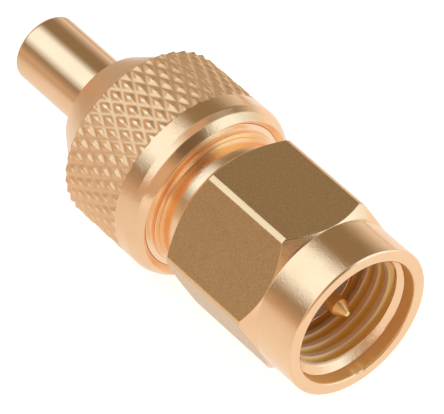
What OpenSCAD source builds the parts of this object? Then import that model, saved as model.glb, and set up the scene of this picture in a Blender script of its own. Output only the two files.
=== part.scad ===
// Straight SMA cable plug, clamp type.
// The connector's axis is X: the mating mouth faces +X and the cable leaves towards -X.
// The origin is on the axis in the mating reference plane, the front rim of the outer conductor's sleeve.
// A flat of the coupling nut faces down (-Z). All lengths are millimetres.

/* [Coupling nut] */
// Width across the wrench flats
nut_af = 8; // [7.9:0.1:8.6]
// Diameter of the turned lands left on the six corners
nut_corner_d = 9.08; // [8.8:0.02:9.1]
// Length from the mouth to the back edge of the neck
nut_len = 10.2; // [9.8:0.1:11]
// Distance that the mouth stands ahead of the reference plane
nut_front = 2.95; // [2.7:0.05:3.2]
// Diameter of the plain barrel at the mouth
barrel_d = 7.97; // [7.7:0.01:7.98]
// Length of the plain barrel, up to the hexagon's front bevel
barrel_len = 2.47; // [2:0.01:3]
// Diameter of the neck at the nut's back edge
neck_d = 6.88; // [6.6:0.02:7.2]
// Radial rise of the neck from its back edge to the hexagon
neck_rise = 0.13; // [0.05:0.01:0.2]
// Length of the neck, up to the hexagon's back chamfer
neck_len = 1.28; // [1:0.01:1.5]
// Angle between the hexagon's back chamfer and the axis
chamfer_angle = 56; // [45:1:65]
// Diameter of the plain counterbore in the mouth
mouth_d = 6.66; // [6.5:0.02:7.2]
// Depth of the counterbore in the mouth
mouth_depth = 0.71; // [0.5:0.01:1]
// Minor diameter of the thread, left as a plain wall
thread_minor_d = 5.7; // [5.6:0.01:5.8]
// Included angle of the countersink that leads into the thread
lead_in_angle = 120; // [90:5:130]
// Length of the chamber between the thread's end and the gasket
thread_relief = 0.35; // [0.1:0.05:0.6]
// Radial step from the turning bore to the chamber
chamber_step = 0.2; // [0.1:0.02:0.3]
// Bevel on the edges of the mouth
rim_bevel = 0.08; // [0.02:0.01:0.15]

/* [Outer conductor] */
// Outside diameter of the front sleeve
sleeve_d = 4.6; // [4.5:0.01:4.7]
// Bore of the front sleeve
sleeve_bore_d = 4.1; // [4:0.01:4.2]
// Length of the front sleeve ahead of the shoulder
sleeve_len = 2.8; // [2.6:0.05:3]
// Diameter of the shank that the coupling nut turns on
shank_d = 6; // [5.8:0.02:6.1]
// Diameter of the flange behind the coupling nut
flange_d = 7.86; // [7.4:0.01:8]
// Length of the flange
flange_len = 1.4; // [1.2:0.05:1.6]
// Radial size of the flange's front bevel
flange_bevel = 0.28; // [0.1:0.01:0.35]
// Axial length of the flange's front bevel
flange_bevel_len = 0.18; // [0.1:0.01:0.4]
// Diameter of the spigot that the clamp nut screws on
spigot_d = 6.8; // [6.4:0.02:6.9]
// Length of the spigot
spigot_len = 3.5; // [3:0.1:3.8]
// Bore behind the front insulator
rear_bore_d = 4.9; // [4.7:0.02:5]
// Distance from the reference plane back to the bore's step
bore_step = 6; // [5.6:0.1:6.6]

/* [Retaining ring and gasket] */
// Width of the split ring
ring_w = 0.5; // [0.4:0.02:0.6]
// Radial thickness of the split ring
ring_t = 0.74; // [0.64:0.02:0.78]
// Depth of the ring's groove in the shank
ring_groove_depth = 0.4; // [0.3:0.02:0.44]
// Gap in the split ring, measured as an angle
ring_gap_angle = 40; // [20:5:60]
// Distance from the nut's back face to the front edge of its ring groove
ring_setback = 2.5; // [2.2:0.1:2.8]
// Thickness of the silicone gasket
gasket_t = 0.8; // [0.6:0.05:0.85]

/* [Contact and insulators] */
// Diameter of the pin
pin_d = 0.9; // [0.86:0.01:0.95]
// Length that the pin stands ahead of the reference plane
pin_len = 2.21; // [1.9:0.01:2.5]
// Length of the pin's cone
pin_cone_len = 0.59; // [0.4:0.01:0.8]
// Diameter of the small flat on the pin's tip
pin_tip_d = 0.24; // [0.1:0.01:0.3]
// Diameter of the contact inside the insulators
contact_d = 1.27; // [1.1:0.01:1.4]
// Diameter of the collar that holds the contact
collar_d = 1.8; // [1.6:0.02:2.2]
// Length of the collar
collar_len = 0.6; // [0.4:0.05:0.8]
// Bore of the solder cup for the cable's centre wire
cup_d = 0.56; // [0.5:0.01:0.62]
// Depth of the solder cup
cup_depth = 1.7; // [1.2:0.05:1.9]
// Length of the rear insulator
rear_ins_len = 3; // [2.6:0.05:3.2]
// Distance that the front insulator's face lies behind the reference plane
recess = 0.02; // [0.01:0.01:0.05]

/* [Clamp nut] */
// Diameter over the knurl and the smooth band
clamp_d = 9.4; // [9.3:0.02:10]
// Distance from the coupling nut's back face to the clamp nut's front lip
clamp_gap = 0.1; // [0.05:0.01:0.2]
// Diameter of the front lip's inner edge
lip_d = 8.56; // [8.5:0.01:8.7]
// Width of the flat land on the front lip
lip_land = 0.02; // [0.01:0.01:0.05]
// Radial clearance between the flange and the recess round it
recess_gap = 0.05; // [0.03:0.01:0.1]
// Length of the steep part of the front bevel
lip_bevel_len = 0.39; // [0.2:0.01:0.5]
// Diameter of the edge between the two front bevels
lip_edge_d = 9.14; // [9:0.01:9.2]
// Length of the shallow part of the front bevel
shoulder_bevel_len = 0.36; // [0.2:0.01:0.5]
// Length of the smooth band
band_len = 0.94; // [0.7:0.01:1.2]
// Length of the back cone
cone_len = 2.16; // [1.8:0.01:2.6]
// Diameter of the back cone's large end
cone_d = 8.4; // [8.2:0.01:8.6]
// Diameter of the back cone's small end
cone_end_d = 5.6; // [5.2:0.01:6]
// Length of the knurl's back bevel
knurl_bevel_len = 0.32; // [0.2:0.01:0.4]

/* [Knurl] */
// Number of grooves round the nut in each direction
knurl_count = 41; // [36:1:46]
// Axial distance between two crossings of the same two grooves
knurl_lead = 1.252; // [1.1:0.002:1.4]
// Depth of the knurl's grooves
knurl_depth = 0.11; // [0.06:0.01:0.2]
// Share of a cell's width that is left as the pyramid's flat top
knurl_top = 0.333; // [0.1:0.001:0.5]
// Length of the knurl, from the smooth band to its back bevel
knurl_len = 3.77; // [2.6:0.01:4.6]

/* [Ferrule and washer] */
// Outside diameter of the tube
tube_d = 3.6; // [3.4:0.01:3.8]
// Bore of the tube, for the cable
tube_bore_d = 2.3; // [2.1:0.01:2.5]
// Length of the tube that shows behind the clamp nut
tube_len = 5.33; // [4:0.01:8]
// Diameter of the ferrule's flange
ferrule_flange_d = 6.2; // [5.8:0.02:6.4]
// Thickness of the ferrule's flange
ferrule_flange_t = 0.7; // [0.5:0.02:0.8]
// Thickness of the washer
washer_t = 0.4; // [0.3:0.02:0.5]
// Bevel on the edges of the tube's end
tube_bevel = 0.1; // [0.05:0.01:0.2]

/* [Fits] */
// Radial clearance where one piece turns on another
running_gap = 0.05; // [0.02:0.01:0.08]
// Radial clearance where a piece is pressed or screwed in place
seat_gap = 0.01; // [0.005:0.005:0.03]
// Axial clearance between turning faces
end_gap = 0.03; // [0.02:0.01:0.06]

/* [Hidden] */
$fn = 96;
cut = 1; // how far a cutting shape runs past the faces it opens
tuck = 0.1; // how far a shape's hidden end runs inside its neighbour

gold = "goldenrod";
pin_gold = "gold";
spring_bronze = "peru";
ptfe = "white";
silicone = "indianred";

// Stations along the axis, from the mouth to the cable end
nut_back = nut_front - nut_len;
barrel_back = nut_front - barrel_len;
hex_front = barrel_back - (nut_corner_d - barrel_d) / 2;
mouth_floor = nut_front - mouth_depth;
thread_front = mouth_floor - (mouth_d - thread_minor_d) / 2 / tan(lead_in_angle / 2);
gasket_front = -sleeve_len + gasket_t;
thread_back = gasket_front + thread_relief;
neck_front = nut_back + neck_len;
neck_front_r = neck_d / 2 + neck_rise;
hex_back = neck_front + (nut_corner_d / 2 - neck_front_r) / tan(chamfer_angle);
groove_front = nut_back + ring_setback;
groove_back = groove_front - ring_w - 2 * end_gap;
chamber_back = (groove_front - sleeve_len) / 2; // midway from the shank's front to the ring's groove

flange_front = nut_back - end_gap;
flange_back = flange_front - flange_len;
spigot_back = flange_back - spigot_len;
rear_ins_back = -bore_step - rear_ins_len;
collar_back = -bore_step - collar_len;
ferrule_flange_back = spigot_back - ferrule_flange_t;
washer_back = ferrule_flange_back - washer_t;

clamp_front = nut_back - clamp_gap;
lip_edge = clamp_front - lip_bevel_len;
band_front = lip_edge - shoulder_bevel_len;
band_back = band_front - band_len;
knurl_back = band_back - knurl_len;
cone_front = knurl_back - knurl_bevel_len;
cone_back = cone_front - cone_len;
recess_r = flange_d / 2 + recess_gap;
lip_bevel = lip_d / 2 - recess_r - lip_land;
recess_back = flange_back - 2 * end_gap;
tube_back = cone_back - tube_len;

// Radii that more than one piece follows
turning_r = shank_d / 2 + running_gap;
chamber_r = turning_r + chamber_step;
ring_inner_r = shank_d / 2 - ring_groove_depth + seat_gap;
ring_outer_r = ring_inner_r + ring_t;
contact_r = contact_d / 2;
rear_bore_r = rear_bore_d / 2;
clamp_bore_r = spigot_d / 2 + seat_gap;
clamp_r = clamp_d / 2;
cone_slope = (cone_d - cone_end_d) / 2 / cone_len;

// Lays along X what is made about Z.
module along_x() rotate([0, 90, 0]) children();

// A solid turned about X from an outline of [station, radius] points.
module turned(outline) along_x() rotate_extrude() polygon([for (p = outline) [p[1], p[0]]]);

// A round bar between two stations, given from back to front.
module bar(back, front, r) translate([back, 0, 0]) along_x() cylinder(h = front - back, r = r);

// A ring between two stations.
module ring(back, front, inner_r, outer_r) difference() {
    bar(back, front, outer_r);
    bar(back - cut, front + cut, inner_r);
}

// The outside of the coupling nut before its flats are milled: neck, back chamfer, corner lands,
// front bevel and barrel.
module nut_turning() turned([
    [nut_back, 0], [nut_back, neck_d / 2], [neck_front, neck_front_r], [hex_back, nut_corner_d / 2],
    [hex_front, nut_corner_d / 2], [barrel_back, barrel_d / 2], [nut_front - rim_bevel, barrel_d / 2],
    [nut_front, barrel_d / 2 - rim_bevel], [nut_front, 0]
]);

// The bores of the coupling nut: counterbore, lead-in, thread, chamber, ring groove and turning bore.
module nut_bores() {
    turned([
        [nut_front + cut, 0], [nut_front + cut, mouth_d / 2 + rim_bevel + cut],
        [nut_front - rim_bevel, mouth_d / 2], [mouth_floor, mouth_d / 2],
        [thread_front, thread_minor_d / 2], [thread_front, 0]
    ]);
    bar(thread_back - tuck, thread_front + tuck, thread_minor_d / 2);
    bar(chamber_back, thread_back, chamber_r);
    bar(groove_back, groove_front, ring_outer_r + running_gap);
    bar(nut_back - cut, chamber_back + tuck, turning_r);
}

module coupling_nut() color(gold) difference() {
    intersection() {
        nut_turning();
        along_x() rotate(30) translate([0, 0, nut_back - cut])
            cylinder(h = nut_len + 2 * cut, r = nut_af / 2 / cos(30), $fn = 6);
    }
    nut_bores();
}

// A flat ring with one gap, sprung into the shank's groove and standing out into the nut's.
module retaining_ring() color(spring_bronze) difference() {
    ring(groove_back + end_gap, groove_front - end_gap, ring_inner_r, ring_outer_r);
    translate([groove_back - cut, 0, 0]) along_x() linear_extrude(ring_w + 2 * end_gap + 2 * cut)
        polygon([[0, 0], for (side = [-1, 1])
            2 * ring_outer_r * [cos(side * ring_gap_angle / 2), sin(side * ring_gap_angle / 2)]]);
}

module sealing_gasket() color(silicone)
    ring(-sleeve_len, gasket_front, sleeve_d / 2 + seat_gap, shank_d / 2 - seat_gap);

module plug_body() color(gold) difference() {
    turned([
        [0, 0], [0, sleeve_d / 2], [-sleeve_len, sleeve_d / 2], [-sleeve_len, shank_d / 2],
        [groove_front - end_gap, shank_d / 2],
        [groove_front - end_gap, shank_d / 2 - ring_groove_depth],
        [groove_back + end_gap, shank_d / 2 - ring_groove_depth],
        [groove_back + end_gap, shank_d / 2], [flange_front, shank_d / 2],
        [flange_front, flange_d / 2 - flange_bevel], [flange_front - flange_bevel_len, flange_d / 2],
        [flange_back, flange_d / 2], [flange_back, spigot_d / 2], [spigot_back, spigot_d / 2],
        [spigot_back, 0]
    ]);
    bar(-bore_step - cut, cut, sleeve_bore_d / 2);
    bar(spigot_back - cut, -bore_step, rear_bore_r);
}

module front_insulator() color(ptfe)
    ring(-bore_step, -recess, contact_r + seat_gap, sleeve_bore_d / 2 - seat_gap);

module centre_contact() color(pin_gold) difference() {
    turned([
        [pin_len, 0], [pin_len, pin_tip_d / 2], [pin_len - pin_cone_len, pin_d / 2],
        [-recess, pin_d / 2], [-recess, contact_r], [-bore_step, contact_r],
        [-bore_step, collar_d / 2], [collar_back, collar_d / 2], [collar_back, contact_r],
        [rear_ins_back, contact_r], [rear_ins_back, 0]
    ]);
    bar(rear_ins_back - cut, rear_ins_back + cup_depth, cup_d / 2);
}

module rear_insulator() color(ptfe) difference() {
    ring(rear_ins_back, -bore_step, contact_r + seat_gap, rear_bore_r - seat_gap);
    bar(collar_back, -bore_step + cut, collar_d / 2 + seat_gap);
}

// How far the knurl is cut in at a place, counted in cells round the nut and along it. Two sets of
// V grooves cross, and the flats left between them are the tops of the pyramids.
function to_groove(t) = abs(t - round(t));
function groove_cut(round_cells, long_cells) = knurl_depth * max(0,
    1 - 2 * min(to_groove(round_cells + long_cells), to_groove(round_cells - long_cells)) / (1 - knurl_top));

// The knurled drum: a skin of small squares, each split along the groove nearest to it. It starts
// inside the smooth band and ends inside the back cone.
module knurled_drum() {
    split = 6; // squares across one cell, so that grooves and tops fall on their corners
    top_r = clamp_r - seat_gap;
    columns = split * knurl_count;
    step = knurl_lead / split;
    start = band_back + step / 2;
    bevel_slope = (top_r - cone_d / 2) / knurl_bevel_len;
    whole_steps = floor((start - knurl_back) / step);
    stations = [for (j = [0 : whole_steps]) start - j * step, knurl_back, cone_front - tuck];
    tops = [for (x = stations) x < knurl_back ? cone_d / 2 - tuck * bevel_slope : top_r];
    rows = len(stations);
    skin = [for (j = [0 : rows - 1], i = [0 : columns - 1])
        let (r = min(tops[j], top_r - groove_cut(i / split, (start - stations[j]) / knurl_lead)),
             turn = 360 * i / columns)
        [stations[j], r * cos(turn), r * sin(turn)]];
    function at(i, j) = j * columns + i % columns;
    sides = [for (j = [0 : rows - 2], i = [0 : columns - 1])
        let (round_cells = (i + 0.5) / split, long_cells = (j + 0.5) / split,
             rising = to_groove(round_cells - long_cells) < to_groove(round_cells + long_cells),
             a = at(i, j), b = at(i + 1, j), c = at(i + 1, j + 1), d = at(i, j + 1))
        each rising ? [[a, c, d], [a, b, c]] : [[a, b, d], [b, c, d]]];
    front = [for (i = [columns - 1 : -1 : 0]) at(i, 0)];
    back = [for (i = [0 : columns - 1]) at(i, rows - 1)];
    polyhedron(skin, concat(sides, [front, back]), convexity = 6);
}

module clamp_nut() color(gold) difference() {
    union() {
        turned([
            [clamp_front, 0], [clamp_front, lip_d / 2], [lip_edge, lip_edge_d / 2],
            [band_front, clamp_r], [band_back, clamp_r], [band_back, 0]
        ]);
        knurled_drum();
        turned([
            [cone_front + tuck, 0], [cone_front + tuck, cone_d / 2 + tuck * cone_slope],
            [cone_back, cone_end_d / 2], [cone_back, 0]
        ]);
    }
    turned([
        [clamp_front + cut, 0], [clamp_front + cut, lip_d / 2 + cut],
        [clamp_front, recess_r + lip_bevel], [clamp_front - lip_bevel, recess_r],
        [recess_back, recess_r], [recess_back, 0]
    ]);
    bar(washer_back, recess_back + tuck, clamp_bore_r);
    bar(cone_back - cut, washer_back + tuck, tube_d / 2 + running_gap);
}

module clamp_washer() color(gold)
    ring(washer_back, ferrule_flange_back, tube_d / 2 + seat_gap, ferrule_flange_d / 2);

module cable_ferrule() color(gold) difference() {
    turned([
        [rear_ins_back, 0], [rear_ins_back, rear_bore_r - seat_gap], [spigot_back, rear_bore_r - seat_gap],
        [spigot_back, ferrule_flange_d / 2], [ferrule_flange_back, ferrule_flange_d / 2],
        [ferrule_flange_back, tube_d / 2], [tube_back + tube_bevel, tube_d / 2],
        [tube_back, tube_d / 2 - tube_bevel], [tube_back, 0]
    ]);
    bar(tube_back - cut, rear_ins_back + cut, tube_bore_d / 2);
}

coupling_nut();
retaining_ring();
sealing_gasket();
plug_body();
front_insulator();
centre_contact();
rear_insulator();
clamp_nut();
clamp_washer();
cable_ferrule();
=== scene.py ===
import math
import bmesh
import bpy
import numpy as np
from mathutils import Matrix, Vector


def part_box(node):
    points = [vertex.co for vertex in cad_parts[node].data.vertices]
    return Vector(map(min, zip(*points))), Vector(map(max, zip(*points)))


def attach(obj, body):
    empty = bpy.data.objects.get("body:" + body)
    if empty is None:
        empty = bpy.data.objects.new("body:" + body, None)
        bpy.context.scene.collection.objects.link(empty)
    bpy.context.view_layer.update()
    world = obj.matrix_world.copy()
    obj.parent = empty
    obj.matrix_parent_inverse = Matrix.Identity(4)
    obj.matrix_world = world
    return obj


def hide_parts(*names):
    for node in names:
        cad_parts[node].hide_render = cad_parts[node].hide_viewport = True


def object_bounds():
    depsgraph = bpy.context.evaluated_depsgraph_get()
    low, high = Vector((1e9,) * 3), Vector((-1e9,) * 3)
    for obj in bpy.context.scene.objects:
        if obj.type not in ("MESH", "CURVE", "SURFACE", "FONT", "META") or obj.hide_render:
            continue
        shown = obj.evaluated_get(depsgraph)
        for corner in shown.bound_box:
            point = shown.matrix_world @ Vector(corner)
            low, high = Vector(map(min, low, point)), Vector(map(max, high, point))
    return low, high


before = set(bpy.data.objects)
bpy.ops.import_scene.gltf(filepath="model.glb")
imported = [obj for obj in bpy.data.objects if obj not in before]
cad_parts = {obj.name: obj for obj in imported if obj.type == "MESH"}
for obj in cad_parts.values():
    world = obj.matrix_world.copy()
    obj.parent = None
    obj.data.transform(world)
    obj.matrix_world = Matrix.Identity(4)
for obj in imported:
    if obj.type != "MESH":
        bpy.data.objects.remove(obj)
cad_low, cad_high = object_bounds()

# ---- Plug body --------------------------------------------------------------------------------
# The outer conductor, turned from one brass bar and plated with gold: the thin front sleeve, the
# shank that the coupling nut turns on, the bevelled flange and the spigot for the clamp nut.
mm = 0.001
ease = 0.03  # how far the turned edges are broken

sleeve_r, sleeve_bore_r, shank_r = 2.3, 2.05, 3.0
sleeve_len = 2.8
ring_groove_r = 2.6
flange_bevel, flange_bevel_len, flange_len = 0.30, 0.28, 1.4
rear_bore_r, bore_step = 2.45, 6.0
spigot_r = 3.4
body_low, body_high = (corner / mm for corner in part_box("plug_body"))
ring_low, ring_high = (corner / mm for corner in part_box("retaining_ring"))
flange_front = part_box("coupling_nut")[0].x / mm - 0.03
flange_back = flange_front - flange_len
flange_r = body_high.z + 0.046  # larger than the CAD's, so that no dark gap shows round the flange


def eased_outline(corners, reach):
    """Breaks the corners of a closed outline. Each corner P becomes a quadratic curve from A to B,
    the points that lie `reach` (or a quarter of a short side) before and after it, and one more
    point follows on each side, so that the flats next to the edge shade as flats."""
    p = np.array(corners, float)
    before, after = np.roll(p, 1, 0) - p, np.roll(p, -1, 0) - p
    long_before, long_after = (np.linalg.norm(v, axis=1, keepdims=True) for v in (before, after))
    cut = np.minimum(np.broadcast_to(np.reshape(reach, (-1, 1)), long_before.shape),
                     np.minimum(long_before, long_after) / 4)
    a, b = p + before / long_before * cut, p + after / long_after * cut
    t = np.linspace(0, 1, 6)[None, :, None]
    curve = (1 - t) ** 2 * a[:, None] + 2 * t * (1 - t) * p[:, None] + t ** 2 * b[:, None]
    lead, tail = a + (a - p) * 0.5, b + (b - p) * 0.5
    return np.concatenate([lead[:, None], curve, tail[:, None]], 1).reshape(-1, 2)


def piece_from_grid(name, x, r, angles, seam=None):
    """A closed skin on a grid: the point in row i and column j is (x_ij, r_ij cos a_j, r_ij sin a_j).
    Rows close into a loop and columns round the axis, where the last one's row i meets the first
    one's row i, or the row that seam gives for i. On the axis itself the skin closes in a fan."""
    rows, columns = x.shape
    points = np.stack([x, r * np.cos(angles), r * np.sin(angles)], -1).reshape(-1, 3) * mm
    i, j = np.meshgrid(np.arange(rows), np.arange(columns), indexing="ij")
    met = np.where(j == columns - 1, (np.arange(rows) if seam is None else seam)[:, None], i)
    below, j1 = (i + 1) % rows, (j + 1) % columns
    quads = np.stack([i * columns + j, met * columns + j1, met[below[:, 0]] * columns + j1,
                      below * columns + j], -1).reshape(-1, 4)
    off_axis = (r > 0) | (r[below[:, 0]] > 0)
    return piece_from_faces(name, points, quads[off_axis.reshape(-1)])


def piece_from_faces(name, points, faces):
    """Makes a smooth-shaded mesh object from quads. Points that fall together are merged, and a
    quad that loses a corner becomes a triangle. The faces are turned round if the volume that they
    enclose, a sixth of the sum of a . (b x c) over their corners, comes out negative."""
    corners = points[faces]
    volume = sum(np.einsum("ni,ni->", corners[:, 0], np.cross(corners[:, k], corners[:, k + 1]))
                 for k in (1, 2))
    mesh = bpy.data.meshes.new(name)
    mesh.from_pydata(points.tolist(), [], (faces if volume > 0 else faces[:, ::-1]).tolist())
    solid = bmesh.new()
    solid.from_mesh(mesh)
    bmesh.ops.remove_doubles(solid, verts=solid.verts, dist=1e-8)
    solid.to_mesh(mesh)
    solid.free()
    mesh.shade_smooth()
    piece = bpy.data.objects.new(name, mesh)
    bpy.context.scene.collection.objects.link(piece)
    return piece


def turned_piece(name, outline, columns=192, reach=ease):
    """A ring-shaped solid: an outline of (station, radius) corners, eased, carried round the axis."""
    section = eased_outline(outline, np.where(np.array(outline)[:, 1] > 0, reach, 0))
    angles = np.linspace(0, 2 * np.pi, columns, endpoint=False)
    x, r = (np.repeat(section[:, k:k + 1], columns, 1) for k in (0, 1))
    return piece_from_grid(name, x, r, angles)


def node_group(name, inputs, outputs):
    """An empty shader group with those sockets, its nodes and links, and its input and output."""
    group = bpy.data.node_groups.new(name, "ShaderNodeTree")
    for label, kind, value in inputs:
        socket = group.interface.new_socket(label, in_out="INPUT", socket_type=kind)
        socket.default_value = value
    for label, kind in outputs:
        group.interface.new_socket(label, in_out="OUTPUT", socket_type=kind)
    return group, group.nodes.new("NodeGroupInput"), group.nodes.new("NodeGroupOutput")


def maths(tree, operation, first, second=None, third=None):
    """One Math node fed by sockets or numbers, and its output."""
    node = tree.nodes.new("ShaderNodeMath")
    node.operation = operation
    for socket, value in zip(node.inputs, (first, second, third)):
        if isinstance(value, bpy.types.NodeSocket):
            tree.links.new(value, socket)
        elif value is not None:
            socket.default_value = value
    return node.outputs[0]


def noise(tree, vector, scale, detail=2.0, roughness=0.5):
    """One Noise Texture node on a vector socket, and its grey output."""
    node = tree.nodes.new("ShaderNodeTexNoise")
    node.inputs["Scale"].default_value = scale
    node.inputs["Detail"].default_value = detail
    node.inputs["Roughness"].default_value = roughness
    tree.links.new(vector, node.inputs["Vector"])
    return node.outputs["Fac"]


def ranged(tree, value, low, high, to_low, to_high):
    """Carries a value from one range to another and holds it at the ends."""
    node = tree.nodes.new("ShaderNodeMapRange")
    for socket, given in zip(node.inputs, (value, low, high, to_low, to_high)):
        if isinstance(given, bpy.types.NodeSocket):
            tree.links.new(given, socket)
        else:
            socket.default_value = given
    return node.outputs["Result"]


def toward(tree, direction, axis):
    """How far a direction points along an axis, a socket or plain numbers: their dot product."""
    node = tree.nodes.new("ShaderNodeVectorMath")
    node.operation = "DOT_PRODUCT"
    tree.links.new(direction, node.inputs[0])
    if isinstance(axis, bpy.types.NodeSocket):
        tree.links.new(axis, node.inputs[1])
    else:
        node.inputs[1].default_value = axis
    return node.outputs["Value"]


def tinted(tree, first, second, factor):
    """A mix of two colours, given as sockets or as plain numbers."""
    node = tree.nodes.new("ShaderNodeMix")
    node.data_type = "RGBA"
    tree.links.new(factor, node.inputs["Factor"])
    for socket, colour in ((node.inputs["A"], first), (node.inputs["B"], second)):
        if isinstance(colour, bpy.types.NodeSocket):
            tree.links.new(colour, socket)
        else:
            socket.default_value = (*colour, 1)
    return node.outputs["Result"]


# Tool marks of a lathe: noise that changes quickly along the axis and with the radius, and slowly
# round the axis, so that it runs in rings on barrels and on faces alike.
marks, given, made = node_group(
    "lathe_marks",
    [("Position", "NodeSocketVector", (0, 0, 0)), ("Fineness", "NodeSocketFloat", 9000.0),
     ("Wander", "NodeSocketFloat", 300.0)],
    [("Rings", "NodeSocketFloat")])
split = marks.nodes.new("ShaderNodeSeparateXYZ")
marks.links.new(given.outputs["Position"], split.inputs[0])
square = maths(marks, "ADD", maths(marks, "MULTIPLY", split.outputs["Y"], split.outputs["Y"]),
               maths(marks, "MULTIPLY", split.outputs["Z"], split.outputs["Z"]))
radius = maths(marks, "SQRT", square)
along = maths(marks, "ADD", split.outputs["X"], maths(marks, "MULTIPLY", radius, 1.7))
along = maths(marks, "MULTIPLY", along, given.outputs["Fineness"])
join = marks.nodes.new("ShaderNodeCombineXYZ")
marks.links.new(along, join.inputs["X"])
marks.links.new(maths(marks, "MULTIPLY", split.outputs["Y"], given.outputs["Wander"]), join.inputs["Y"])
marks.links.new(maths(marks, "MULTIPLY", split.outputs["Z"], given.outputs["Wander"]), join.inputs["Z"])
marks.links.new(noise(marks, join.outputs[0], 1.0, 3.0, 0.6), made.inputs["Rings"])

# Where a point lies on a turned piece, in millimetres: how far along the axis and how far out.
spot, given, made = node_group("turned_place", [("Position", "NodeSocketVector", (0, 0, 0))],
                               [("Along", "NodeSocketFloat"), ("Out", "NodeSocketFloat")])
split = spot.nodes.new("ShaderNodeSeparateXYZ")
spot.links.new(given.outputs["Position"], split.inputs[0])
square = maths(spot, "MULTIPLY_ADD", split.outputs["Y"], split.outputs["Y"],
               maths(spot, "MULTIPLY", split.outputs["Z"], split.outputs["Z"]))
spot.links.new(maths(spot, "DIVIDE", maths(spot, "SQRT", square), mm), made.inputs["Out"])
spot.links.new(maths(spot, "DIVIDE", split.outputs["X"], mm), made.inputs["Along"])

# Gold plate is never one even colour: cloudy patches lean from the lighter to the deeper tone.
tone, given, made = node_group(
    "gold_tone",
    [("Position", "NodeSocketVector", (0, 0, 0)), ("Pale", "NodeSocketColor", (1, 1, 1, 1)),
     ("Deep", "NodeSocketColor", (1, 1, 1, 1))],
    [("Colour", "NodeSocketColor"), ("Clouds", "NodeSocketFloat")])
clouds = noise(tone, given.outputs["Position"], 420.0, 4.0, 0.6)
cloudiness = ranged(tone, clouds, 0.3, 0.7, 0.0, 1.0)
tone.links.new(tinted(tone, given.outputs["Pale"], given.outputs["Deep"], cloudiness), made.inputs["Colour"])
tone.links.new(clouds, made.inputs["Clouds"])


def gold_finish(name, pale, deep, roughness, ring_depth, grain_depth, scuff=0.0):
    """Gold plate over worked brass: tone and clouds in the colour, the clouds and the rings in the
    roughness, rings from the lathe and a fine grain from tumbling in the bump. Scuffs add patches of
    a coarser grain. The depths are in metres."""
    material = bpy.data.materials.new(name)
    material.use_nodes = True
    tree = material.node_tree
    shader = tree.nodes["Principled BSDF"]
    shader.inputs["Metallic"].default_value = 1.0
    place = tree.nodes.new("ShaderNodeTexCoord").outputs["Object"]
    colour = tree.nodes.new("ShaderNodeGroup")
    colour.node_tree = tone
    tree.links.new(place, colour.inputs["Position"])
    colour.inputs["Pale"].default_value = (*pale, 1)
    colour.inputs["Deep"].default_value = (*deep, 1)
    tree.links.new(colour.outputs["Colour"], shader.inputs["Base Color"])
    rings = tree.nodes.new("ShaderNodeGroup")
    rings.node_tree = marks
    rings.inputs["Fineness"].default_value = 9000.0
    rings.inputs["Wander"].default_value = 300.0
    tree.links.new(place, rings.inputs["Position"])
    grain = noise(tree, place, 14000.0, 2.0, 0.6)
    cloudy = ranged(tree, colour.outputs["Clouds"], 0.3, 0.7, roughness * 0.85, roughness * 1.15)
    ringed = maths(tree, "MULTIPLY", maths(tree, "SUBTRACT", rings.outputs["Rings"], 0.5), 0.08)
    tree.links.new(maths(tree, "ADD", cloudy, ringed), shader.inputs["Roughness"])
    height = maths(tree, "ADD", maths(tree, "MULTIPLY", rings.outputs["Rings"], ring_depth),
                   maths(tree, "MULTIPLY", grain, grain_depth))
    patches = ranged(tree, noise(tree, place, 900.0, 5.0, 0.75), 0.5, 0.58, 0.0, scuff)
    coarse = maths(tree, "MULTIPLY", noise(tree, place, 7500.0, 3.0, 0.7), patches)
    height = maths(tree, "ADD", height, maths(tree, "MULTIPLY", coarse, 6e-6))
    bump = tree.nodes.new("ShaderNodeBump")
    bump.inputs["Strength"].default_value = 1.0
    bump.inputs["Distance"].default_value = 1.0
    tree.links.new(height, bump.inputs["Height"])
    tree.links.new(bump.outputs["Normal"], shader.inputs["Normal"])
    return material


def placed(material):
    """A finish's node tree, its Object coordinates, and its place along and out from the axis."""
    tree = material.node_tree
    place = next(n for n in tree.nodes if n.type == "TEX_COORD").outputs["Object"]
    where = tree.nodes.new("ShaderNodeGroup")
    where.node_tree = spot
    tree.links.new(place, where.inputs["Position"])
    return tree, place, where.outputs["Along"], where.outputs["Out"]


def overlaid(material, mask, colour, roughness):
    """Mixes another colour and roughness into a finish where a mask is 1."""
    tree = material.node_tree
    shader = tree.nodes["Principled BSDF"]
    tone_in, dull_in = shader.inputs["Base Color"], shader.inputs["Roughness"]
    tree.links.new(tinted(tree, tone_in.links[0].from_socket, colour, mask), tone_in)
    tree.links.new(ranged(tree, mask, 0.0, 1.0, dull_in.links[0].from_socket, roughness), dull_in)


pale_gold, deep_gold = (0.98, 0.69, 0.44), (0.97, 0.64, 0.39)
body_gold = gold_finish("gold_body", pale_gold, deep_gold, 0.15, 1.2e-6, 0.6e-6)
# Painted highlight: the flange in the clamp nut's recess is painted a paler gold than the rest of the body.
tree, place, along, out = placed(body_gold)
overlaid(body_gold, ranged(tree, out, flange_r - flange_bevel - 0.2, flange_r - flange_bevel, 0.0, 1.0),
         (1.0, 0.75, 0.53), 0.2)

body = turned_piece("plug_body_turned", [
    (0, sleeve_bore_r), (0, sleeve_r), (-sleeve_len, sleeve_r), (-sleeve_len, shank_r),
    (ring_high.x, shank_r), (ring_high.x, ring_groove_r), (ring_low.x, ring_groove_r),
    (ring_low.x, shank_r), (flange_front, shank_r), (flange_front, flange_r - flange_bevel),
    (flange_front - flange_bevel_len, flange_r - flange_bevel + 0.03),
    (flange_front - flange_bevel_len - 0.04, flange_r),
    (flange_back, flange_r), (flange_back, spigot_r),
    (body_low.x, spigot_r), (body_low.x, rear_bore_r), (-bore_step, rear_bore_r),
    (-bore_step, sleeve_bore_r)])
body.data.materials.append(body_gold)
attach(body, "plug")
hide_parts("plug_body")

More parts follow.
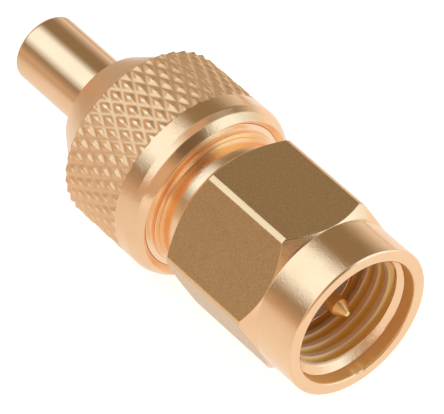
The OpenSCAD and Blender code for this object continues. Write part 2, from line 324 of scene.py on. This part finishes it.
# ---- Retaining ring and gasket ----------------------------------------------------------------
# A split ring of spring bronze holds the coupling nut on the shank, and a flat silicone ring seals
# the joint. Both sit inside the coupling nut, the gasket just in view down the mouth.


def plain_finish(name, colour, roughness, metallic, bump_scale, bump_depth, mottle=0.08):
    """One colour with a fine mottle in tone and roughness and a shallow grain in the bump."""
    material = bpy.data.materials.new(name)
    material.use_nodes = True
    tree = material.node_tree
    shader = tree.nodes["Principled BSDF"]
    shader.inputs["Metallic"].default_value = metallic
    place = tree.nodes.new("ShaderNodeTexCoord").outputs["Object"]
    grain = noise(tree, place, bump_scale, 3.0, 0.6)
    mottled = tinted(tree, [c * (1 - mottle) for c in colour],
                     [min(1, c * (1 + mottle)) for c in colour], grain)
    tree.links.new(mottled, shader.inputs["Base Color"])
    dull = ranged(tree, grain, 0.3, 0.7, roughness * 0.85, roughness * 1.15)
    tree.links.new(dull, shader.inputs["Roughness"])
    bump = tree.nodes.new("ShaderNodeBump")
    bump.inputs["Distance"].default_value = bump_depth
    tree.links.new(grain, bump.inputs["Height"])
    tree.links.new(bump.outputs["Normal"], shader.inputs["Normal"])
    return material


def dress_node(node, material):
    """Gives a CAD node that keeps its own shape its finish."""
    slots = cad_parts[node].data.materials
    slots.clear()
    slots.append(material)


dress_node("retaining_ring", plain_finish("spring_bronze", (0.55, 0.31, 0.16), 0.35, 1.0, 9000.0, 2e-6))
dress_node("sealing_gasket", plain_finish("silicone", (0.35, 0.06, 0.03), 0.5, 0.0, 6000.0, 4e-6))

# ---- Contact ----------------------------------------------------------------------------------
# The centre pin with its cone tip, turned from beryllium copper and plated thickly with gold. Behind
# the mating plane it thickens, and its collar is held between the two insulators.
pin_r, pin_tip_r, pin_cone_len = 0.45, 0.12, 0.59
contact_r, collar_len, cup_r, cup_depth, recess = 0.635, 0.6, 0.28, 1.7, 0.02
contact_low, contact_high = (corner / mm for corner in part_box("centre_contact"))

contact = turned_piece("centre_contact_turned", [
    (contact_high.x, 0), (contact_high.x, pin_tip_r), (contact_high.x - pin_cone_len, pin_r),
    (-recess, pin_r), (-recess, contact_r), (-bore_step, contact_r), (-bore_step, contact_high.z),
    (-bore_step - collar_len, contact_high.z), (-bore_step - collar_len, contact_r),
    (contact_low.x, contact_r), (contact_low.x, cup_r), (contact_low.x + cup_depth, cup_r),
    (contact_low.x + cup_depth, 0)], columns=96, reach=0.02)
contact.data.materials.append(
    gold_finish("gold_contact", (1.0, 0.74, 0.38), (1.0, 0.68, 0.30), 0.3, 0.8e-6, 0.3e-6))
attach(contact, "plug")
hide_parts("centre_contact")

# ---- Insulators -------------------------------------------------------------------------------
# Two turned rings of PTFE carry the contact: the long one ends just behind the mating plane, the
# short one closes the solder space. Waxy and matte, and brown for the shade deep in the mouth.
ptfe = plain_finish("ptfe", (0.45, 0.28, 0.16), 0.45, 0.0, 5000.0, 3e-6, 0.03)
ptfe.node_tree.nodes["Principled BSDF"].inputs["Subsurface Weight"].default_value = 0.3
ptfe.node_tree.nodes["Principled BSDF"].inputs["Subsurface Radius"].default_value = (0.4 * mm,) * 3
insulator_low, insulator_high = (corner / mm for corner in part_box("front_insulator"))
insulator = turned_piece("front_insulator_turned", [
    (-recess, contact_r + 0.01), (-recess, insulator_high.z), (insulator_low.x, insulator_high.z),
    (insulator_low.x, contact_r + 0.01)], columns=128, reach=0.02)
insulator.data.materials.append(ptfe)
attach(insulator, "plug")
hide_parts("front_insulator")
dress_node("rear_insulator", ptfe)

# ---- Cable ferrule and washer -----------------------------------------------------------------
# The thin polished tube that the cable's jacket is soldered into, with a flange that the clamp nut
# presses home over a plain washer. Its open end is rounded.
ferrule_low, ferrule_high = (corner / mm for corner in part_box("cable_ferrule"))
tube_r, tube_bore_r, tube_round = 1.8, 1.15, 0.22
ferrule_body_r, ferrule_flange_t = rear_bore_r - 0.01, 0.7
ferrule_gold = gold_finish("gold_ferrule", (0.98, 0.70, 0.46), (0.97, 0.66, 0.42), 0.13, 0.5e-6, 0.2e-6)
ferrule = turned_piece("cable_ferrule_turned", [
    (ferrule_high.x, tube_bore_r), (ferrule_high.x, ferrule_body_r), (body_low.x, ferrule_body_r),
    (body_low.x, ferrule_high.z), (body_low.x - ferrule_flange_t, ferrule_high.z),
    (body_low.x - ferrule_flange_t, tube_r), (ferrule_low.x, tube_r), (ferrule_low.x, tube_bore_r)],
    reach=[ease] * 6 + [tube_round, 0.08])
ferrule.data.materials.append(ferrule_gold)
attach(ferrule, "plug")
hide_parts("cable_ferrule")
dress_node("clamp_washer", body_gold)

# ---- Clamp nut --------------------------------------------------------------------------------
# One turned and knurled nut that screws over the body's spigot and clamps the ferrule: front lip
# with two bevels, smooth band, diamond knurl rolled to 30 degrees each way, and a plain cone.
clamp_low, clamp_high = (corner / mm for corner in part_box("clamp_nut"))
clamp_front, clamp_back = clamp_high.x, clamp_low.x
clamp_r = 4.7
recess_r, lip_bevel, lip_r = body_high.z + 0.05, 0.28, 4.28
lip_edge, lip_edge_r = clamp_front - 0.39, 4.57
band_front = lip_edge - 0.36
band_back = band_front - 0.94
knurl_back = band_back - 3.77
cone_front = knurl_back - 0.32
cone_r, cone_end_r = 4.2, 2.8
recess_back = flange_back - 0.06
clamp_bore_r, clamp_tube_r = spigot_r + 0.01, tube_r + 0.05
washer_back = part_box("clamp_washer")[0].x / mm

knurl_count, knurl_lead, knurl_depth = 41, 1.252, 0.11  # cells round, length of a cell, depth
knurl_floor, knurl_top = 0.07, 0.36  # half widths of a groove at its floor and at its top, in cells
knurl_turn, knurl_shift = 0.324, 0.935  # where the first pyramid stands, in cells
samples = 15  # grid steps across one cell of the knurl, few enough to stay under 200,000 triangles


def knurl_cut(round_cells, long_cells):
    """How deep the knurl is cut at a place counted in cells. Across each of the two crossing
    grooves the depth falls from the floor's edge to the pyramid's edge by a part t of a smooth
    step, the mean of t and 3t^2 - 2t^3, and the deeper of the two grooves counts."""
    depths = []
    for across in (round_cells + long_cells, round_cells - long_cells):
        off = np.abs(across - np.round(across))
        t = np.clip((off - knurl_floor) / (knurl_top - knurl_floor), 0, 1)
        depths.append(1 - (t + t * t * (3 - 2 * t)) / 2)
    return knurl_depth * np.maximum(*depths)


columns = knurl_count * samples
angles = np.linspace(0, 2 * np.pi, columns, endpoint=False)
turned_rows = eased_outline([
    (washer_back, clamp_bore_r), (recess_back, clamp_bore_r), (recess_back, recess_r),
    (clamp_front - lip_bevel, recess_r), (clamp_front, recess_r + lip_bevel), (clamp_front, lip_r),
    (lip_edge, lip_edge_r), (band_front, clamp_r), (band_back, clamp_r), (knurl_back, clamp_r),
    (cone_front, cone_r), (clamp_back, cone_end_r), (clamp_back, clamp_tube_r),
    (washer_back, clamp_tube_r)], 0.04)
front_rows, back_rows = turned_rows[:8 * 8], turned_rows[10 * 8:]
band_rows = np.array([(band_front - 0.3, clamp_r), (band_back + 0.06, clamp_r), (band_back + 0.02, clamp_r)])

steps = int(round((band_back - knurl_back) / (knurl_lead / samples)))
knurl_x = np.concatenate([
    band_back - np.linspace(0, band_back - knurl_back, steps + 1),
    np.linspace(knurl_back, cone_front + 0.04, 7)[1:]])
edge_wander = 0.025 * (np.sin(angles * 23) + np.sin(angles * 61 + 1) + np.sin(angles * 97 + 2)) / 3
start = np.clip((band_back + edge_wander - knurl_x[:, None]) / 0.07 + 0.2, 0, 1)
cells_round = angles / (2 * np.pi) * knurl_count - knurl_turn
cells_long = (clamp_front - knurl_x[:, None]) / knurl_lead - knurl_shift
cut = knurl_cut(cells_round[None, :] + 0 * cells_long, cells_long) * start
bevel_top = np.interp(knurl_x, [cone_front, knurl_back], [cone_r, clamp_r])[:, None]
knurl_r = np.minimum(clamp_r - cut, bevel_top)

front, band, back = (np.repeat(rows[:, :, None], columns, 2) for rows in (front_rows, band_rows, back_rows))
x = np.concatenate([front[:, 0], band[:, 0], np.repeat(knurl_x[:, None], columns, 1), back[:, 0]])
r = np.concatenate([front[:, 1], band[:, 1], knurl_r, back[:, 1]])
clamp = piece_from_grid("clamp_nut_knurled", x, r, angles)
clamp_gold = gold_finish("gold_clamp", (0.98, 0.68, 0.43), (0.97, 0.63, 0.38), 0.17, 1.0e-6, 0.7e-6, 0.8)
# The knurl's tool leaves the slopes matt; they are painted a deeper orange as painted shade, and the groove
# floors and the tops are painted paler as painted highlights.
tree, place, along, out = placed(clamp_gold)
knurled = maths(tree, "MULTIPLY", ranged(tree, along, band_back, band_back - 0.08, 0.0, 1.0),
                ranged(tree, along, knurl_back - 0.05, knurl_back, 0.0, 1.0))
depth = maths(tree, "DIVIDE", maths(tree, "SUBTRACT", clamp_r, out), knurl_depth)
overlaid(clamp_gold, knurled, (1.0, 0.64, 0.37), 0.42)
# Painted highlight in the groove floors.
groove_floor_highlight = maths(tree, "MULTIPLY", knurled, ranged(tree, depth, 0.7, 0.97, 0.0, 1.0))
overlaid(clamp_gold, groove_floor_highlight, (1.0, 0.70, 0.44), 0.5)
# Painted highlight on the pyramids' tops, broken up by noise.
broken = maths(tree, "ADD", maths(tree, "MULTIPLY", depth, -1.6), noise(tree, place, 9000.0, 2.0, 0.6))
top_highlight = maths(tree, "MULTIPLY", knurled, ranged(tree, broken, 0.38, 0.5, 0.0, 1.0))
overlaid(clamp_gold, top_highlight, (1.0, 0.80, 0.54), 0.3)
# The cone's upper side is rougher and painted darker in cloudy brown patches: painted shade.
cone_top_shade = maths(tree, "MULTIPLY", ranged(tree, along, cone_front - 0.05, cone_front - 0.3, 0.0, 1.0),
                  ranged(tree, noise(tree, place, 700.0, 4.0, 0.65), 0.36, 0.6, 0.2, 1.0))
cone_top_shade = maths(tree, "MULTIPLY", cone_top_shade,
                  ranged(tree, toward(tree, place, (0, 0, 1)), 1.5 * mm, 3.5 * mm, 0.0, 1.0))
overlaid(clamp_gold, cone_top_shade, (0.80, 0.60, 0.40), 0.24)
clamp.data.materials.append(clamp_gold)
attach(clamp, "plug")
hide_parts("clamp_nut")

# ---- Coupling nut -----------------------------------------------------------------------------
# A hexagonal nut milled from a turned and threaded blank: plain barrel and mouth, six flats with the
# turned surface left as narrow lands on the corners, and a short neck behind. Thread 1/4-36.
nut_low, nut_high = (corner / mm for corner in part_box("coupling_nut"))
nut_front, nut_back = nut_high.x, nut_low.x - 0.026  # nearer the flange than the CAD's
flat_r, corner_r, barrel_r = nut_high.z, 4.54, 3.985
barrel_back = nut_front - 2.47
rim_bevel, mouth_r = 0.08, 3.33
mouth_floor = nut_front - 0.71
neck_r, neck_front_r, neck_front = 3.44, 3.57, nut_back + 1.28
chamfer_slope = math.tan(math.radians(56))
chamber_r, turning_r = 3.25, shank_r + 0.05
groove_outer_r = ring_high.z + 0.05
chamber_back = (ring_high.x + 0.03 - sleeve_len) / 2
pitch, minor_r, major_r = 25.4 / 36, 2.85, 3.175
thread_back = -1.65
thread_front = mouth_floor - (mouth_r - minor_r) / math.tan(math.radians(60))


def soft_min(a, b, width):
    """The smaller of a and b, blended by a parabola where they are closer than width."""
    near = np.clip(width - np.abs(a - b), 0, None) / width
    return np.minimum(a, b) - near ** 2 * width / 4


def blank_r(x):
    """Radius of the turned blank at station x: barrel, 45 degree bevel, corner lands, 56 degree
    chamfer, and the neck, which falls ever more steeply, by a power of 1.4, to its back edge."""
    front = -soft_min(-barrel_r + 0 * x, -(barrel_r + barrel_back - x), 0.03)
    fall = (np.clip(neck_front - x, 0, None) / (neck_front - nut_back)) ** 1.4
    neck = neck_front_r - (neck_front_r - neck_r) * fall
    back = -soft_min(-neck, -(neck_front_r + (x - neck_front) * chamfer_slope), 0.06)
    return soft_min(soft_min(front, corner_r + 0 * x, 0.02), back, 0.012)


half_sector = np.concatenate([np.linspace(0, 27.3, 14), [27.7, 27.9, 28.05, 28.16, 28.27, 28.4, 28.6, 29.2]])
sector = np.concatenate([-half_sector[:0:-1], half_sector, [30.0]])
local = np.radians(np.tile(sector, 6))
angles = np.radians(np.repeat(np.arange(6) * 60 + 30, len(sector))) + local
hexagon_r = flat_r / np.cos(local)
land_r = np.minimum(hexagon_r, corner_r)

bevel_end = barrel_back - (land_r - barrel_r)
chamfer_end = neck_front + (land_r - neck_front_r) / chamfer_slope
bevel_len, flat_len = barrel_back - bevel_end, bevel_end - chamfer_end
close = np.array([0.06, 0.04, 0.025, 0.015, 0.007])[:, None]
stations = np.concatenate([
    np.repeat((barrel_back + np.array([2.2, 1.7, 1.2, 0.7, 0.3, 0.12, 0.05, 0.03, 0.015]))[:, None],
              len(angles), 1),
    barrel_back - bevel_len * np.array([0.0, 0.1, 0.25, 0.4, 0.55, 0.7, 0.82, 0.92, 1.0])[:, None],
    bevel_end - close[::-1],
    bevel_end - flat_len * np.linspace(0, 1, 12)[1:-1, None],
    chamfer_end + close,
    neck_front + (chamfer_end - neck_front) * np.array([1, 0.9, 0.65, 0.35, 0.12])[:, None],
    np.repeat(neck_front + np.linspace(0.01, -1.2, 16)[:, None], len(angles), 1),
])
outer_r = soft_min(blank_r(stations), hexagon_r, 0.03)
outer_r[:9] = blank_r(stations[:9])

rim_rows = eased_outline([
    (mouth_floor, mouth_r - 0.3), (mouth_floor, mouth_r), (nut_front - rim_bevel, mouth_r),
    (nut_front, mouth_r + rim_bevel), (nut_front, barrel_r - rim_bevel),
    (nut_front - rim_bevel, barrel_r), (nut_front - 0.2, barrel_r)], 0.03)[16:-8]
rim_rows = np.concatenate([[(mouth_floor + 0.01, mouth_r), (mouth_floor + 0.03, mouth_r)], rim_rows])
rim_x, rim_r = (np.repeat(rim_rows[:, k:k + 1], len(angles), 1) for k in (0, 1))
# Six small nicks in the mouth's inner edge: where, how wide in degrees and how deep in millimetres.
nicks = np.zeros(len(angles))
for at, wide, deep in ((-86, 0.9, 0.03), (-82, 0.7, 0.02), (-77, 1.0, 0.035), (-72, 0.7, 0.02),
                       (-66, 0.8, 0.03), (-95, 0.7, 0.02)):
    nicks += deep * np.exp(-((np.degrees(angles) - at + 180) % 360 - 180) ** 2 / wide ** 2)
inner_rim = (rim_r < mouth_r + rim_bevel + 0.02) & (rim_x > nut_front - 0.12)
rim_x = rim_x - inner_rim * nicks
rim_r = rim_r + inner_rim * nicks * 0.8
bore_rows = eased_outline([
    (nut_back + 0.05, neck_r + 0.01), (nut_back, neck_r), (nut_back, turning_r),
    (ring_low.x - 0.03, turning_r),
    (ring_low.x - 0.03, groove_outer_r), (ring_high.x + 0.03, groove_outer_r),
    (ring_high.x + 0.03, turning_r), (chamber_back, turning_r), (chamber_back, chamber_r),
    (thread_back, chamber_r), (thread_back, minor_r - 0.2)], 0.03)[8:-8]

half_pitch = np.array([0.0, 0.03, 0.05, 0.0625, 0.08, 0.11, 0.16, 0.21, 0.26, 0.295, 0.315, 0.33, 0.345,
                       0.37, 0.43])
phases = np.concatenate([-half_pitch[:0:-1], half_pitch])
turns = int(math.ceil((mouth_floor - thread_back) / pitch)) + 3
phase = (np.arange(turns)[:, None] + phases).reshape(-1)
around = angles / (2 * np.pi)
wall_x = thread_back + pitch * (phase[:, None] + around - 2)
wall_x = np.clip(wall_x, thread_back, mouth_floor)
phase = (wall_x - thread_back) / pitch - around
off = np.abs(phase - np.round(phase)) * pitch
groove = major_r - np.clip(off - pitch / 16, 0, None) / math.tan(math.radians(30))
lead_in = minor_r + (wall_x - thread_front) * math.tan(math.radians(60))
wall_r = -soft_min(soft_min(-minor_r + 0 * groove, -groove, 0.03), -lead_in, 0.02)

first, last = len(stations) + len(bore_rows), len(stations) + len(bore_rows) + len(wall_x)
x = np.concatenate([stations, np.repeat(bore_rows[:, :1], len(angles), 1), wall_x, rim_x])
r = np.concatenate([outer_r, np.repeat(bore_rows[:, 1:], len(angles), 1), wall_r, rim_r])

seam = np.arange(len(x))
seam[first:last] = np.minimum(seam[first:last] + len(phases), last - 1)
nut = piece_from_grid("coupling_nut_threaded", x, r, angles, seam)
nut_gold = gold_finish("gold_nut", (0.98, 0.68, 0.43), (0.97, 0.63, 0.38), 0.17, 0.8e-6, 0.7e-6, 0.8)
# The flats are milled: satin, with a fine sandy grain that is coarser on the four sloping ones. A
# point is on a flat where it reaches flat_r along the flat's normal.
tree, place, along, out = placed(nut_gold)
on_flat = (flat_r - 0.012) * mm, (flat_r - 0.004) * mm
level = maths(tree, "ABSOLUTE", toward(tree, place, (0, 0, 1)))
faces = level
for side in (1, -1):
    slope = toward(tree, place, (0, side * math.sqrt(0.75), 0.5))
    faces = maths(tree, "MAXIMUM", faces, maths(tree, "ABSOLUTE", slope))
milled = ranged(tree, faces, *on_flat, 0.0, 1.0)
sand = noise(tree, place, 9000.0, 3.0, 0.7)
upright = ranged(tree, level, *on_flat, 0.0, 1.0)
# Painted shade: besides the flats' darker gold, the four sloping flats are painted darker than the two
# upright ones.
flat_shade_tone = tinted(tree, (0.74, 0.49, 0.26), (0.82, 0.58, 0.34), upright)
overlaid(nut_gold, milled, flat_shade_tone, ranged(tree, sand, 0.3, 0.7, 0.2, 0.38))
# The corners' lands are a little darker, and the neck is painted paler as a painted highlight.
darker_corner_land = ranged(tree, out, corner_r - 0.04, corner_r - 0.015, 0.0, 1.0)
overlaid(nut_gold, darker_corner_land, (0.86, 0.58, 0.34), 0.2)
neck_highlight = maths(tree, "MULTIPLY", ranged(tree, along, neck_front + 0.1, neck_front, 0.0, 1.0),
                  ranged(tree, out, neck_r - 0.1, neck_r - 0.04, 0.0, 1.0))
overlaid(nut_gold, neck_highlight, (1.0, 0.74, 0.48), 0.2)
bump = next(n for n in tree.nodes if n.type == "BUMP")
sandy = maths(tree, "MULTIPLY", maths(tree, "MULTIPLY", sand, milled),
              ranged(tree, upright, 0.0, 1.0, 12e-6, 6e-6))
tree.links.new(maths(tree, "ADD", bump.inputs["Height"].links[0].from_socket, sandy), bump.inputs["Height"])
# Down the mouth the grooves are painted a yellow ochre and the counterbore a deep orange as painted
# shade, and the crests a paler gold as a painted highlight. A matte share with no sheen stands there
# for the light that bounces about in a bright hollow.
inside = maths(tree, "MULTIPLY", ranged(tree, along, mouth_floor - 0.3, mouth_floor - 0.5, 0.0, 1.0),
               ranged(tree, out, minor_r + 0.05, minor_r + 0.12, 0.0, 1.0))
inside = maths(tree, "MULTIPLY", inside, ranged(tree, out, major_r + 0.02, major_r + 0.1, 1.0, 0.0))
counterbore_shade = maths(tree, "MULTIPLY", ranged(tree, along, mouth_floor, mouth_floor + 0.06, 0.0, 1.0),
              ranged(tree, out, mouth_r + 0.02, mouth_r + 0.05, 1.0, 0.0))
crest_highlight = ranged(tree, out, minor_r + 0.05, minor_r + 0.12, 1.0, 0.0)
overlaid(nut_gold, counterbore_shade, (1.0, 0.55, 0.20), 0.42)
overlaid(nut_gold, crest_highlight, (1.0, 0.70, 0.44), 0.42)
overlaid(nut_gold, inside, (1.0, 0.68, 0.20), 0.34)
hollow = maths(tree, "MAXIMUM", maths(tree, "MAXIMUM", counterbore_shade, crest_highlight), inside)
tree.links.new(ranged(tree, hollow, 0.0, 1.0, 1.0, 0.3), tree.nodes["Principled BSDF"].inputs["Metallic"])
tree.nodes["Principled BSDF"].inputs["Specular IOR Level"].default_value = 0.0
nut.data.materials.append(nut_gold)
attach(nut, "nut")
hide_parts("coupling_nut")

# ---- Studio -----------------------------------------------------------------------------------
# A white sheet under the plug, a soft box on each side above it, a bright sweep behind it, and a
# dim warm room round them. A long lens looks down along the plug towards its mouth.
soft_box, given, made = node_group(
    "soft_box",
    [("Direction", "NodeSocketVector", (0, 0, 0)), ("Facing", "NodeSocketVector", (0, 1, 0)),
     ("Across", "NodeSocketVector", (1, 0, 0)), ("Upwards", "NodeSocketVector", (0, 0, 1)),
     ("Half width", "NodeSocketFloat", 0.5), ("Half height", "NodeSocketFloat", 0.5),
     ("Edge", "NodeSocketFloat", 0.2)],
    [("Light", "NodeSocketFloat")])
# A direction lights up where its slopes across and upwards of the box's middle are within its edges.
forward = toward(soft_box, given.outputs["Direction"], given.outputs["Facing"])
forward = maths(soft_box, "MAXIMUM", forward, 0.001)
light = 1.0
for axis, half in (("Across", "Half width"), ("Upwards", "Half height")):
    slope = toward(soft_box, given.outputs["Direction"], given.outputs[axis])
    slope = maths(soft_box, "ABSOLUTE", maths(soft_box, "DIVIDE", slope, forward))
    within = maths(soft_box, "SUBTRACT", given.outputs[half], slope)
    within = maths(soft_box, "DIVIDE", within, given.outputs["Edge"])
    light = maths(soft_box, "MULTIPLY", ranged(soft_box, within, -0.5, 0.5, 0.0, 1.0), light)
soft_box.links.new(light, made.inputs["Light"])

world = bpy.data.worlds.new("studio")
bpy.context.scene.world = world
world.use_nodes = True
tree = world.node_tree
tree.nodes.clear()
direction = tree.nodes.new("ShaderNodeTexCoord").outputs["Generated"]
height = toward(tree, direction, (0, 0, 1))
side = toward(tree, direction, (0, 1, 0))
ahead = toward(tree, direction, (1, 0, 0))
off = maths(tree, "ABSOLUTE", maths(tree, "ADD", ahead, 0.55))
glow = maths(tree, "MULTIPLY", ranged(tree, off, 0.12, 0.4, 0.0, 1.0),
             ranged(tree, side, 0.5, 0.1, 0.0, 1.0))
room = tinted(tree, (0.28, 0.22, 0.135), (0.68, 0.51, 0.37), glow)
room = tinted(tree, room, (0.62, 0.48, 0.38), ranged(tree, height, 0.93, 1.0, 0.0, 1.0))
near_side = maths(tree, "MULTIPLY", ranged(tree, side, 0.1, -0.5, 0.0, 1.0),
                  ranged(tree, height, 0.3, -0.05, 0.0, 1.0))
room = tinted(tree, room, (0.57, 0.43, 0.32), near_side)
sweep = maths(tree, "MULTIPLY", ranged(tree, side, 0.09, 0.84, 0.0, 1.0),
              ranged(tree, height, 0.55, -0.05, 0.0, 1.0))
room = tinted(tree, room, (0.97, 0.92, 0.85), sweep)
for azimuth, elevation, half_width, half_height, edge, colour in (
        (-117, 51, 0.75, 0.49, 0.45, (1.07, 1.28, 1.43)),
        (46, 22, 0.61, 0.88, 0.7, (1.06, 1.32, 1.5)),
        (-8, 50, 0.40, 0.36, 0.35, (0.18, 0.135, 0.085)),
        (0, 18, 0.34, 0.30, 0.40, (0.42, 0.33, 0.22))):
    a, e = math.radians(azimuth), math.radians(elevation)
    box = tree.nodes.new("ShaderNodeGroup")
    box.node_tree = soft_box
    tree.links.new(direction, box.inputs["Direction"])
    box.inputs["Facing"].default_value = (math.cos(a) * math.cos(e), math.sin(a) * math.cos(e), math.sin(e))
    box.inputs["Across"].default_value = (-math.sin(a), math.cos(a), 0)
    box.inputs["Upwards"].default_value = (-math.cos(a) * math.sin(e), -math.sin(a) * math.sin(e),
                                           math.cos(e))
    box.inputs["Half width"].default_value = half_width
    box.inputs["Half height"].default_value = half_height
    box.inputs["Edge"].default_value = edge
    room = tinted(tree, room, colour, box.outputs["Light"])
path = tree.nodes.new("ShaderNodeLightPath")
room = tinted(tree, room, (1, 1, 1), path.outputs["Is Camera Ray"])
background = tree.nodes.new("ShaderNodeBackground")
tree.links.new(room, background.inputs["Color"])
tree.links.new(background.outputs[0], tree.nodes.new("ShaderNodeOutputWorld").inputs["Surface"])

# The sheet looks white in the picture, with the plug's soft shadow on it. In the metal it glows as
# painted light, a lit sheet that dims with distance, sooner on the near side and behind the plug.
floor_half = 600
mesh = bpy.data.meshes.new("floor")
mesh.from_pydata([(sx * floor_half * mm, sy * floor_half * mm, cad_low.z) for sx, sy in
                  ((-1, -1), (1, -1), (1, 1), (-1, 1))], [], [(0, 1, 2, 3)])
floor = bpy.data.objects.new("floor", mesh)
bpy.context.scene.collection.objects.link(floor)
paper = bpy.data.materials.new("paper")
paper.use_nodes = True
tree = paper.node_tree
tree.nodes.clear()
place = tree.nodes.new("ShaderNodeTexCoord").outputs["Object"]
away = tree.nodes.new("ShaderNodeVectorMath")
away.operation = "LENGTH"
tree.links.new(place, away.inputs[0])
away = away.outputs["Value"]
dim = maths(tree, "MULTIPLY", ranged(tree, toward(tree, place, (0.15, 1, 0)), 0.008, -0.01, 0.0, 1.0),
            ranged(tree, away, 0.0, 0.09, 0.12, 1.0))
dim = maths(tree, "MULTIPLY", dim, ranged(tree, toward(tree, place, (1, 0, 0)), 0.012, -0.002, 0.0, 1.0))
behind = maths(tree, "MULTIPLY", ranged(tree, toward(tree, place, (1, 0.3, 0)), -0.02, -0.035, 0.0, 1.0),
               ranged(tree, toward(tree, place, (0.9, -0.5, 0)), 0.0, -0.012, 0.0, 1.0))
dim = maths(tree, "MAXIMUM", dim, behind)
sheet = tree.nodes.new("ShaderNodeEmission")
tree.links.new(tinted(tree, (0.98, 0.94, 0.89), (0.60, 0.46, 0.34), dim), sheet.inputs["Color"])
matte = tree.nodes.new("ShaderNodeBsdfDiffuse")
matte.inputs["Color"].default_value = (0.8, 0.8, 0.8, 1)
whitening = tree.nodes.new("ShaderNodeEmission")
whitening.inputs["Strength"].default_value = 0.68
lit = tree.nodes.new("ShaderNodeAddShader")
tree.links.new(matte.outputs[0], lit.inputs[0])
tree.links.new(whitening.outputs[0], lit.inputs[1])
path = tree.nodes.new("ShaderNodeLightPath")
seen = tree.nodes.new("ShaderNodeMixShader")
tree.links.new(path.outputs["Is Camera Ray"], seen.inputs[0])
tree.links.new(matte.outputs[0], seen.inputs[1])
tree.links.new(lit.outputs[0], seen.inputs[2])
mirrored = tree.nodes.new("ShaderNodeMixShader")
tree.links.new(path.outputs["Is Glossy Ray"], mirrored.inputs[0])
tree.links.new(seen.outputs[0], mirrored.inputs[1])
tree.links.new(sheet.outputs[0], mirrored.inputs[2])
under = tree.nodes.new("ShaderNodeMixShader")
tree.links.new(tree.nodes.new("ShaderNodeNewGeometry").outputs["Backfacing"], under.inputs[0])
tree.links.new(mirrored.outputs[0], under.inputs[1])
tree.links.new(tree.nodes.new("ShaderNodeBsdfTransparent").outputs[0], under.inputs[2])
tree.links.new(under.outputs[0], tree.nodes.new("ShaderNodeOutputMaterial").inputs["Surface"])
mesh.materials.append(paper)

camera_data = bpy.data.cameras.new("camera")
camera_data.sensor_width = 36
camera_data.lens = 356.57
camera = bpy.data.objects.new("camera", camera_data)
camera.location = (106.79 * mm, -103.02 * mm, 135.19 * mm)
camera.rotation_euler = (math.radians(48.450), math.radians(-4.001), math.radians(51.362))
camera_data.clip_start, camera_data.clip_end = 0.01, 2.0
bpy.context.scene.collection.objects.link(camera)
bpy.context.scene.camera = camera
bpy.context.scene.view_settings.view_transform = "Standard"
